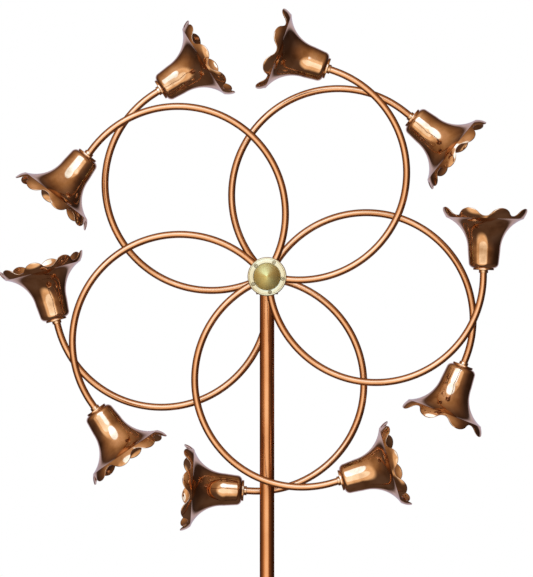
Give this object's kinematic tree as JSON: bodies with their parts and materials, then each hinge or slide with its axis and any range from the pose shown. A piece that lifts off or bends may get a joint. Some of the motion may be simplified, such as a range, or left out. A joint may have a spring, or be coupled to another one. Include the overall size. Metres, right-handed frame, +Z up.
{
  "type": "wind spinner",
  "caption": "Copper wind spinner: curled tube arms end in petalled bells, on counter-facing wheels that turn on a fixed axle at the top of a staked mast",
  "frame": {"origin": "the mast's axis at ground level, where the ground stake enters the soil", "axes": "+Z up along the mast, -Y towards the viewer of the front wheel, +X to that viewer's right"},
  "size_m": [0.5975, 0.2346, 1.902],
  "materials": {
    "satin_copper": "satin brushed copper",
    "aged_copper": "darker satin copper",
    "polished_bronze": "polished bronze-toned copper",
    "pale_brass": "satin pale brass",
    "dome_brass": "spun olive brass",
    "zinc_steel": "zinc-plated steel",
    "bearing_steel": "ground bearing steel",
    "black_steel": "black powder coat",
    "nylon": "natural nylon"
  },
  "bodies": {
    "stand": {"ground_stake": "black_steel", "step_bar": "black_steel", "stake_prongs": "black_steel", "lower_mast": "aged_copper", "mast_joiner": "zinc_steel", "upper_mast": "aged_copper", "mast_screws": "zinc_steel"},
    "head": {"mast_head": "aged_copper", "head_bush": "nylon", "axle": "zinc_steel", "axle_spacers": "zinc_steel", "bearing_spacers": "zinc_steel", "bearing_inner_rings": "bearing_steel", "axle_washers": "zinc_steel", "axle_nuts": "zinc_steel"},
    "front_wheel": {"front_hub_body": "pale_brass", "front_face_plate": "pale_brass", "front_dome_cap": "dome_brass", "front_back_cover": "pale_brass", "front_hub_screws": "pale_brass", "front_bearing_outer_rings": "bearing_steel", "front_arm_1": "satin_copper", "front_arm_2": "satin_copper", "front_arm_3": "satin_copper", "front_arm_4": "satin_copper", "front_arm_5": "satin_copper", "front_bell_1": "polished_bronze", "front_bell_2": "polished_bronze", "front_bell_3": "polished_bronze", "front_bell_4": "polished_bronze", "front_bell_5": "polished_bronze", "front_bell_ferrules": "polished_bronze", "front_bell_studs": "zinc_steel", "front_bell_washers": "zinc_steel", "front_bell_nuts": "zinc_steel"},
    "front_ball_set": {"front_bearing_balls": "bearing_steel", "front_bearing_cages": "zinc_steel"},
    "rear_wheel": {"rear_hub_body": "pale_brass", "rear_face_plate": "pale_brass", "rear_dome_cap": "dome_brass", "rear_back_cover": "pale_brass", "rear_hub_screws": "pale_brass", "rear_bearing_outer_rings": "bearing_steel", "rear_arm_1": "satin_copper", "rear_arm_2": "satin_copper", "rear_arm_3": "satin_copper", "rear_arm_4": "satin_copper", "rear_arm_5": "satin_copper", "rear_bell_1": "polished_bronze", "rear_bell_2": "polished_bronze", "rear_bell_3": "polished_bronze", "rear_bell_4": "polished_bronze", "rear_bell_5": "polished_bronze", "rear_bell_ferrules": "polished_bronze", "rear_bell_studs": "zinc_steel", "rear_bell_washers": "zinc_steel", "rear_bell_nuts": "zinc_steel"},
    "rear_ball_set": {"rear_bearing_balls": "bearing_steel", "rear_bearing_cages": "zinc_steel"}
  },
  "joints": [
    {"name": "head_swivel", "type": "hinge", "parent": "stand", "child": "head", "pos_m": [0, 0, 1.344], "axis": [0, 0, 1], "continuous": true},
    {"name": "front_spin", "type": "hinge", "parent": "head", "child": "front_wheel", "pos_m": [0, -0.068, 1.35], "axis": [0, -1, 0], "continuous": true},
    {"name": "front_ball_orbit", "type": "hinge", "parent": "head", "child": "front_ball_set", "pos_m": [0, -0.068, 1.35], "axis": [0, -1, 0], "continuous": true},
    {"name": "rear_spin", "type": "hinge", "parent": "head", "child": "rear_wheel", "pos_m": [0, 0.068, 1.35], "axis": [0, 1, 0], "continuous": true},
    {"name": "rear_ball_orbit", "type": "hinge", "parent": "head", "child": "rear_ball_set", "pos_m": [0, 0.068, 1.35], "axis": [0, 1, 0], "continuous": true}
  ],
  "couplings": [
    {"joint": "front_ball_orbit", "follows": "front_spin", "ratio": 0.64},
    {"joint": "rear_ball_orbit", "follows": "rear_spin", "ratio": 0.64}
  ]
}
